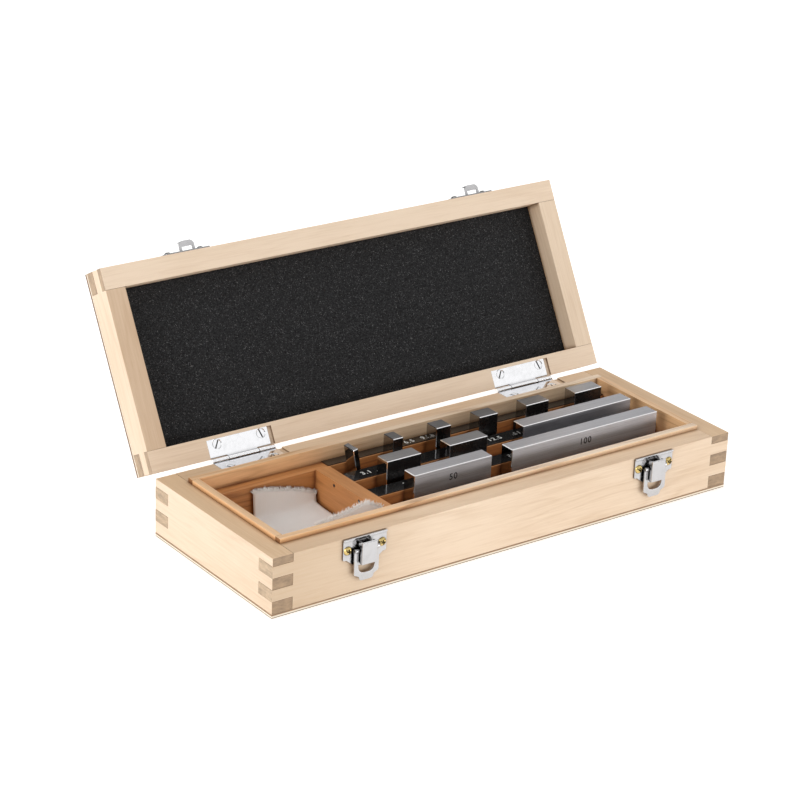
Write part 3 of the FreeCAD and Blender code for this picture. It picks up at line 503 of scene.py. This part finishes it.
def new_piece(name, points, faces, material, uvs=None):
    """A mesh object from points and faces, in the row frame."""
    mesh = bpy.data.meshes.new(name)
    mesh.from_pydata([tuple(p) for p in points], [], faces)
    if uvs:
        layer = mesh.uv_layers.new(name="flat")
        for loop in mesh.loops:
            layer.data[loop.index].uv = uvs[loop.vertex_index]
    mesh.materials.append(material)
    piece = bpy.data.objects.new(name, mesh)
    bpy.context.scene.collection.objects.link(piece)
    return piece


def grid_faces(rows, columns, start=0):
    return [(start + r * columns + c, start + r * columns + c + 1,
             start + (r + 1) * columns + c + 1, start + (r + 1) * columns + c)
            for r in range(rows - 1) for c in range(columns - 1)]


# ---------------------------------------------------------------- foam
FOAM_PITCH = 1.0 * MM
FOAM_PIT = 0.35 * MM              # depth of the pits
FOAM_PITS = 900                   # how closely they lie


def make_foam():
    """Open-cell sheet in the lid, its face pitted all over."""
    low, high = closed_box("lid_foam")
    columns = round((high.x - low.x) / FOAM_PITCH) + 1
    rows = round((high.y - low.y) / FOAM_PITCH) + 1
    points = []
    for r in range(rows):
        for c in range(columns):
            x = low.x + (high.x - low.x) * c / (columns - 1)
            y = low.y + (high.y - low.y) * r / (rows - 1)
            pit = noise.noise(Vector((x, y, 0.0)) * FOAM_PITS) * FOAM_PIT
            points.append(Vector((x, y, low.z + FOAM_PIT + pit)))
    faces = grid_faces(rows, columns)
    rim = ([c for c in range(columns)] + [r * columns + columns - 1 for r in range(1, rows)]
           + [(rows - 1) * columns + c for c in range(columns - 2, -1, -1)]
           + [r * columns for r in range(rows - 2, 0, -1)])
    start = len(points)
    for number in rim:
        points.append(Vector((points[number].x, points[number].y, high.z)))
    for number, current in enumerate(rim):
        following = (number + 1) % len(rim)
        faces.append((current, start + number, start + following, rim[following]))
    faces.append(tuple(range(start + len(rim) - 1, start - 1, -1)))
    turn = lid_turn()
    foam = new_piece("foam_sheet", [turn @ p for p in points], [f[::-1] for f in faces],
                     foam_skin())
    for polygon in foam.data.polygons:
        polygon.use_smooth = len(polygon.vertices) == 4
    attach(foam, "lid")
    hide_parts("lid_foam")


# ---------------------------------------------------------------- numerals
NUMERAL_LIFT = 0.02 * MM
NUMERAL_WEIGHT = 0.025            # how far strokes are thickened, as a share of the height
FONT_SIZE = 1.38                  # font size for digits of height 1
DIGIT_SPACING = 1.15
STRIP_NUMERAL = 3.4 * MM          # height of the digits
BLOCK_NUMERAL = 3.6 * MM
BLOCK_NUMERAL_DROP = {"50": 6.1 * MM, "100": 6.1 * MM, "75": 17.5 * MM}   # below the top
STRIP_NUMBERS = {
    "second": ["3_1", "6_5", "9_7", "12_5", "15_8", "19"],
    "third": ["21_9", "25", "75"],
    "front": ["50", "100"],
}
REAR_NUMBERS = {"6.5": -1.2 * MM, "9.7": 10.0 * MM}    # stand-ins for illegible marks, and their X


def make_number(name, text, height, place, upright, material):
    """Printed or etched number centred on a place, lying flat or facing the front."""
    curve = bpy.data.curves.new(name, "FONT")
    curve.body = text
    curve.size = height * FONT_SIZE
    curve.align_x = "CENTER"
    curve.align_y = "CENTER"
    curve.space_character = DIGIT_SPACING
    curve.offset = height * NUMERAL_WEIGHT
    curve.extrude = NUMERAL_LIFT
    source = bpy.data.objects.new(name + "_curve", curve)
    mesh = bpy.data.meshes.new_from_object(source)
    bpy.data.objects.remove(source)
    tilt = math.pi / 2 if upright else 0.0
    mesh.transform(Matrix.Translation(place) @ Matrix.Rotation(tilt, 4, "X"))
    mesh.materials.clear()
    mesh.materials.append(material)
    number = bpy.data.objects.new(name, mesh)
    bpy.context.scene.collection.objects.link(number)
    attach(number, "case")


def make_numbers():
    white = plain_paint("white_print", srgb(236, 236, 232), 0.5)
    etched = plain_paint("etched_mark", srgb(46, 46, 48), 0.6)
    for strip, sizes in STRIP_NUMBERS.items():
        low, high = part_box(strip + "_label_strip")
        for size in sizes:
            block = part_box("block_" + size + "_mm")
            place = Vector(((block[0].x + block[1].x) / 2, (low.y + high.y) / 2, high.z))
            make_number("strip_number_" + size, size.replace("_", "."), STRIP_NUMERAL, place,
                        False, white)
    low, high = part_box("rear_label_strip")
    for text, x in REAR_NUMBERS.items():
        place = Vector((x, (low.y + high.y) / 2, high.z))
        make_number("rear_number_" + text.replace(".", "_"), text, STRIP_NUMERAL, place, False,
                    white)
    for size, drop in BLOCK_NUMERAL_DROP.items():
        low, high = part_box("block_" + size + "_mm")
        place = Vector(((low.x + high.x) / 2, low.y, high.z - drop))
        make_number("block_number_" + size, size, BLOCK_NUMERAL, place, True, etched)


# ---------------------------------------------------------------- cloth
CLOTH_LAYERS = 4
CLOTH_COLUMNS = 34                # per layer
FOLD_COLUMNS = 5
CLOTH_ROWS = 110
CLOTH_SECTIONS = 24               # curves from front to back that the layers follow
CLOTH_THICKNESS = 0.35 * MM
CLOTH_FOLD = 0.9 * MM             # how far the folds bulge out
CLOTH_PAD = 6.9 * MM              # height of the flat part
FLAP_GAP = 0.5 * MM               # from layer to layer in the flaps
PAD_GAP = 1.75 * MM               # and in the flat part
CLOTH_SHEEN = 0.35
THREAD_SHEEN = 0.8
THREAD_RADIUS = 0.12 * MM
THREAD_SIDES = 3
THREAD_STEPS = 4
THREAD_WANDER = 0.45
THREAD_LENGTHS = (1.3, 3.2)       # mm
THREAD_STUB = 0.5                 # mm, along the divider, where there is no room
THREAD_ROOT = 0.5                 # mm, how far threads start inside the edge
CUT_THREADS = 5                   # threads to each point of a cut end
SIDE_THREADS = 1                  # and of the cut side
RANDOM_SEED = 7
# Heights of the cut edges above the plywood, from the left fold to the divider
BACK_EDGE = [h * MM for h in (21.4, 20.6, 19.2, 17.6, 15.2, 12.2)]
FRONT_EDGE = [h * MM for h in (26.2, 27.6, 28.8, 30.3, 31.5, 27.0)]
random.seed(RANDOM_SEED)


def smooth_line(points, count):
    """Points spread evenly along a smooth curve through the given ones."""
    line = bpy.data.curves.new("line", "CURVE")
    line.dimensions = "3D"
    spline = line.splines.new("NURBS")
    spline.points.add(len(points) - 1)
    for point, target in zip(spline.points, points):
        point.co = (*target, 1.0)
    spline.order_u = 4
    spline.use_endpoint_u = True
    spline.resolution_u = 24
    holder = bpy.data.objects.new("line", line)
    mesh = bpy.data.meshes.new_from_object(holder)
    places = [v.co.copy() for v in mesh.vertices]
    bpy.data.objects.remove(holder)
    lengths = [0.0]
    for first, second in zip(places, places[1:]):
        lengths.append(lengths[-1] + (second - first).length)
    result = []
    segment = 0
    for number in range(count):
        target = lengths[-1] * number / (count - 1)
        while segment < len(places) - 2 and lengths[segment + 1] < target:
            segment += 1
        span = lengths[segment + 1] - lengths[segment]
        share = (target - lengths[segment]) / span if span else 0.0
        result.append(places[segment].lerp(places[segment + 1], share))
    return result


def interpolate(table, share):
    """Value between the nearest two of evenly spread values."""
    position = min(max(share, 0.0), 1.0) * (len(table) - 1)
    first = min(int(position), len(table) - 2)
    return table[first] + (table[first + 1] - table[first]) * (position - first)


def cloth_layout():
    """(share across, depth in layers, bulge of the fold) of every column of the folded cloth."""
    columns = []
    for layer in range(CLOTH_LAYERS):
        for c in range(CLOTH_COLUMNS):
            share = c / (CLOTH_COLUMNS - 1)
            across = 1 - share if layer % 2 == 0 else share
            columns.append((across, float(layer), 0.0))
        if layer < CLOTH_LAYERS - 1:
            side = 0.0 if layer % 2 == 0 else 1.0
            for c in range(1, FOLD_COLUMNS + 1):
                angle = math.pi * c / (FOLD_COLUMNS + 1)
                columns.append((side, layer + (1 - math.cos(angle)) / 2, math.sin(angle)))
    return columns


def make_cloth():
    """Cotton cloth folded into four layers, its cut ends turned up at the front and back."""
    columns = cloth_layout()
    low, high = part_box("cleaning_cloth")
    width = high.x - low.x
    inset = CLOTH_FOLD + CLOTH_THICKNESS
    floor = low.z
    sections = []
    for number in range(CLOTH_SECTIONS):
        share = number / (CLOTH_SECTIONS - 1)
        back = floor + interpolate(BACK_EDGE, share)
        front = floor + interpolate(FRONT_EDGE, share)
        y_back, y_front = high.y - 2.6 * MM, low.y + 2.8 * MM
        pad = floor + CLOTH_PAD
        rise = math.sin(share * math.pi) * 0.5 * MM
        points = [
            (0, y_back, back), (0, y_back - 0.1 * MM, (back + pad) / 2),
            (0, y_back - 0.4 * MM, pad + 0.8 * MM), (0, y_back - 3.5 * MM, pad + 0.1 * MM),
            (0, y_back - 16 * MM, pad + rise), (0, 0, pad + rise * 1.6),
            (0, y_front + 16 * MM, pad + rise), (0, y_front + 4 * MM, pad + 0.3 * MM),
            (0, y_front + 0.2 * MM, pad + 1.6 * MM), (0, y_front + 2.0 * MM, pad + 9 * MM),
            (0, y_front + 6.2 * MM, (front + pad) / 2 + 4 * MM), (0, low.y + 10.2 * MM, front),
        ]
        sections.append(smooth_line(points, CLOTH_ROWS))

    def on_section(share, row):
        position = share * (CLOTH_SECTIONS - 1)
        first = min(int(position), CLOTH_SECTIONS - 2)
        return sections[first][row].lerp(sections[first + 1][row], position - first)

    points, uvs = [], []
    flat_across = [0.0]
    for row in range(CLOTH_ROWS):
        previous = None
        for across, depth, bulge in columns:
            here = on_section(across, row)
            behind = on_section(across, max(row - 1, 0))
            ahead = on_section(across, min(row + 1, CLOTH_ROWS - 1))
            direction = (ahead - behind).normalized()
            normal = Vector((0, -direction.z, direction.y))
            flatness = abs(direction.y)
            gap = FLAP_GAP + (PAD_GAP - FLAP_GAP) * flatness ** 2
            x = low.x + inset + (width - 2 * inset) * across
            x += bulge * CLOTH_FOLD * (1 if across > 0.5 else -1)
            ripple = noise.noise(Vector((x * 55, here.y * 55, 3.1))) * 0.9
            ripple += noise.noise(Vector((x * 160, here.y * 120, here.z * 120 + 9.0))) * 0.3
            lift = ripple * MM * (0.35 + 0.65 * flatness) * (1 - 0.2 * depth)
            place = here + normal * (depth * gap) + Vector((0, 0, lift))
            place.x = x + noise.noise(Vector((here.y * 60, here.z * 60, depth))) * 0.5 * MM
            points.append(place)
            if row == CLOTH_ROWS // 2 and previous is not None:
                flat_across.append(flat_across[-1] + (place - previous).length)
            previous = place
    middle = len(columns) // 8
    flat_along = [0.0]
    for row in range(1, CLOTH_ROWS):
        step = points[row * len(columns) + middle] - points[(row - 1) * len(columns) + middle]
        flat_along.append(flat_along[-1] + step.length)
    for row in range(CLOTH_ROWS):
        for column in range(len(columns)):
            uvs.append((flat_across[column], flat_along[row]))
    cotton = woven_cotton("woven_cotton", CLOTH_SHEEN)
    cloth = new_piece("cotton_cloth", points, grid_faces(CLOTH_ROWS, len(columns)), cotton, uvs)
    for polygon in cloth.data.polygons:
        polygon.use_smooth = True
    thick = cloth.modifiers.new("thickness", "SOLIDIFY")
    thick.thickness = CLOTH_THICKNESS
    thick.offset = 0.0
    fringe = make_fringe(points, len(columns), woven_cotton("loose_cotton", THREAD_SHEEN))
    for piece in (cloth, fringe):
        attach(piece, "case")
    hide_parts("cleaning_cloth")


def thread(points, faces, uvs, start, heading, length):
    """One loose thread: a thin three-sided tube that wanders away from a cut edge."""
    place = start.copy()
    for step in range(THREAD_STEPS + 1):
        side = heading.orthogonal().normalized()
        other = heading.cross(side).normalized()
        radius = THREAD_RADIUS * (1 - 0.5 * step / THREAD_STEPS)
        for corner in range(THREAD_SIDES):
            angle = 2 * math.pi * corner / THREAD_SIDES
            points.append(place + (side * math.cos(angle) + other * math.sin(angle)) * radius)
            uvs.append((place.x, place.z))
        if step:
            base = len(points) - 2 * THREAD_SIDES
            for corner in range(THREAD_SIDES):
                following = (corner + 1) % THREAD_SIDES
                faces.append((base + corner, base + following,
                              base + THREAD_SIDES + following, base + THREAD_SIDES + corner))
        bend = Vector((random.uniform(-1, 1), random.uniform(-1, 1), random.uniform(-1, 1)))
        heading = (heading + bend * THREAD_WANDER).normalized()
        place += heading * (length / THREAD_STEPS)


def make_fringe(cloth_points, columns, material):
    """Frayed threads along both cut ends and the cut side of the cloth."""
    points, faces, uvs = [], [], []
    last = CLOTH_ROWS - 1
    edges = []
    for column in range(columns):
        for row, inner in ((0, 1), (last, last - 1)):
            edge = cloth_points[row * columns + column]
            outward = (edge - cloth_points[inner * columns + column]).normalized()
            edges.append((edge, outward, CUT_THREADS))
    for row in range(CLOTH_ROWS):
        edge = cloth_points[row * columns]
        outward = (edge - cloth_points[row * columns + 1]).normalized()
        edges.append((edge, outward, SIDE_THREADS))
    for edge, outward, count in edges:
        for _ in range(count):
            start = edge + Vector((random.uniform(-0.6, 0.6), 0, 0)) * MM
            start -= outward * THREAD_ROOT * MM
            heading = outward + Vector((random.uniform(-0.5, 0.5), random.uniform(-0.3, 0.3),
                                        random.uniform(-0.3, 0.3)))
            at_divider = outward.x > 0.5
            length = (THREAD_STUB if at_divider else random.uniform(*THREAD_LENGTHS)) * MM
            thread(points, faces, uvs, start, heading.normalized(), length)
    return new_piece("cloth_fringe", points, faces, material, uvs)


# ---------------------------------------------------------------- studio
FLOOR_HALF = 6.0                  # half the floor's width
FLOOR_LEVEL = -0.2 * MM
FLOOR_GLOW = 0.42
LAMPS = [                         # name, place, what it looks at, size, watts
    ("left_softbox", (-1.3, -0.15, 0.4), (0, 0, 0.03), (1.0, 0.8), 7.7),
    ("front_softbox", (0.85, -1.0, 0.13), (0.08, 0, 0.03), (1.2, 0.22), 5.0),
    ("back_softbox", (0.3, 1.0, 1.2), (0, 0, 0.03), (1.4, 0.8), 3.0),
]
# What shiny surfaces see round the set, by the height of the direction: the pale table, a dark
# gap above it and a bright overhead tent
SURROUNDINGS = [(0.0, 0.75), (0.47, 0.7), (0.5, 0.02), (0.63, 0.03), (0.69, 1.0), (0.85, 1.0),
                (1.0, 0.6)]
AMBIENT = 0.69


def make_floor():
    s = Shader("floor_paper")
    grain = s.noise(s.coords(), 40.0, detail=3.0)
    s.set(Base_Color=s.mix(grain, (0.93, 0.93, 0.93, 1), (0.95, 0.95, 0.95, 1)),
          Roughness=SOFT_ROUGHNESS, Specular_IOR_Level=0.0)
    s.set(Emission_Color=(1, 1, 1, 1), Emission_Strength=FLOOR_GLOW)
    corners = [(FLOOR_HALF * x, FLOOR_HALF * y, FLOOR_LEVEL)
               for x, y in ((-1, -1), (1, -1), (1, 1), (-1, 1))]
    floor = new_piece("floor", corners, [(0, 1, 2, 3)], s.material)


def make_lamp(name, place, target, size, power):
    data = bpy.data.lights.new(name, "AREA")
    data.shape = "RECTANGLE"
    data.size, data.size_y = size
    data.energy = power
    lamp = bpy.data.objects.new(name, data)
    bpy.context.scene.collection.objects.link(lamp)
    aim = (Vector(target) - Vector(place)).to_track_quat("-Z", "Y")
    lamp.matrix_world = Matrix.Translation(place) @ aim.to_matrix().to_4x4()


def make_world():
    """Soft white surroundings; the camera sees plain white behind the set."""
    world = bpy.data.worlds.new("studio")
    bpy.context.scene.world = world
    world.use_nodes = True
    tree = world.node_tree
    tree.nodes.clear()

    def add(kind, **settings):
        made = tree.nodes.new("ShaderNode" + kind)
        for name, value in settings.items():
            setattr(made, name, value)
        return made

    def lamp_shade(strength):
        made = add("Background")
        made.inputs["Strength"].default_value = strength
        made.inputs["Color"].default_value = (1, 1, 1, 1)
        return made

    path = add("LightPath")
    direction = add("SeparateXYZ")
    tree.links.new(add("TexCoord").outputs["Generated"], direction.inputs[0])
    height = add("MapRange")
    height.inputs["From Min"].default_value = -1.0
    tree.links.new(direction.outputs["Z"], height.inputs["Value"])
    ramp = add("ValToRGB")
    while len(ramp.color_ramp.elements) < len(SURROUNDINGS):
        ramp.color_ramp.elements.new(0.5)
    for element, (position, level) in zip(ramp.color_ramp.elements, SURROUNDINGS):
        element.position = position
        element.color = (level, level, level, 1)
    tree.links.new(height.outputs["Result"], ramp.inputs["Fac"])
    reflected = lamp_shade(1.0)
    tree.links.new(ramp.outputs["Color"], reflected.inputs["Color"])
    shiny = add("MixShader")
    tree.links.new(path.outputs["Is Glossy Ray"], shiny.inputs["Fac"])
    tree.links.new(lamp_shade(AMBIENT).outputs[0], shiny.inputs[1])
    tree.links.new(reflected.outputs[0], shiny.inputs[2])
    through = add("Math", operation="MAXIMUM")
    tree.links.new(path.outputs["Is Camera Ray"], through.inputs[0])
    tree.links.new(path.outputs["Is Transmission Ray"], through.inputs[1])
    seen = add("MixShader")
    tree.links.new(through.outputs[0], seen.inputs["Fac"])
    tree.links.new(shiny.outputs[0], seen.inputs[1])
    tree.links.new(lamp_shade(1.0).outputs[0], seen.inputs[2])
    tree.links.new(seen.outputs[0], add("OutputWorld").inputs["Surface"])


def make_studio():
    make_floor()
    make_world()
    for lamp in LAMPS:
        make_lamp(*lamp)


# ---------------------------------------------------------------- make everything
make_camera()
dress_nodes()
make_foam()
make_numbers()
make_cloth()
make_studio()
bpy.context.scene.view_settings.view_transform = "Standard"

import json
bpy.context.view_layer.update()
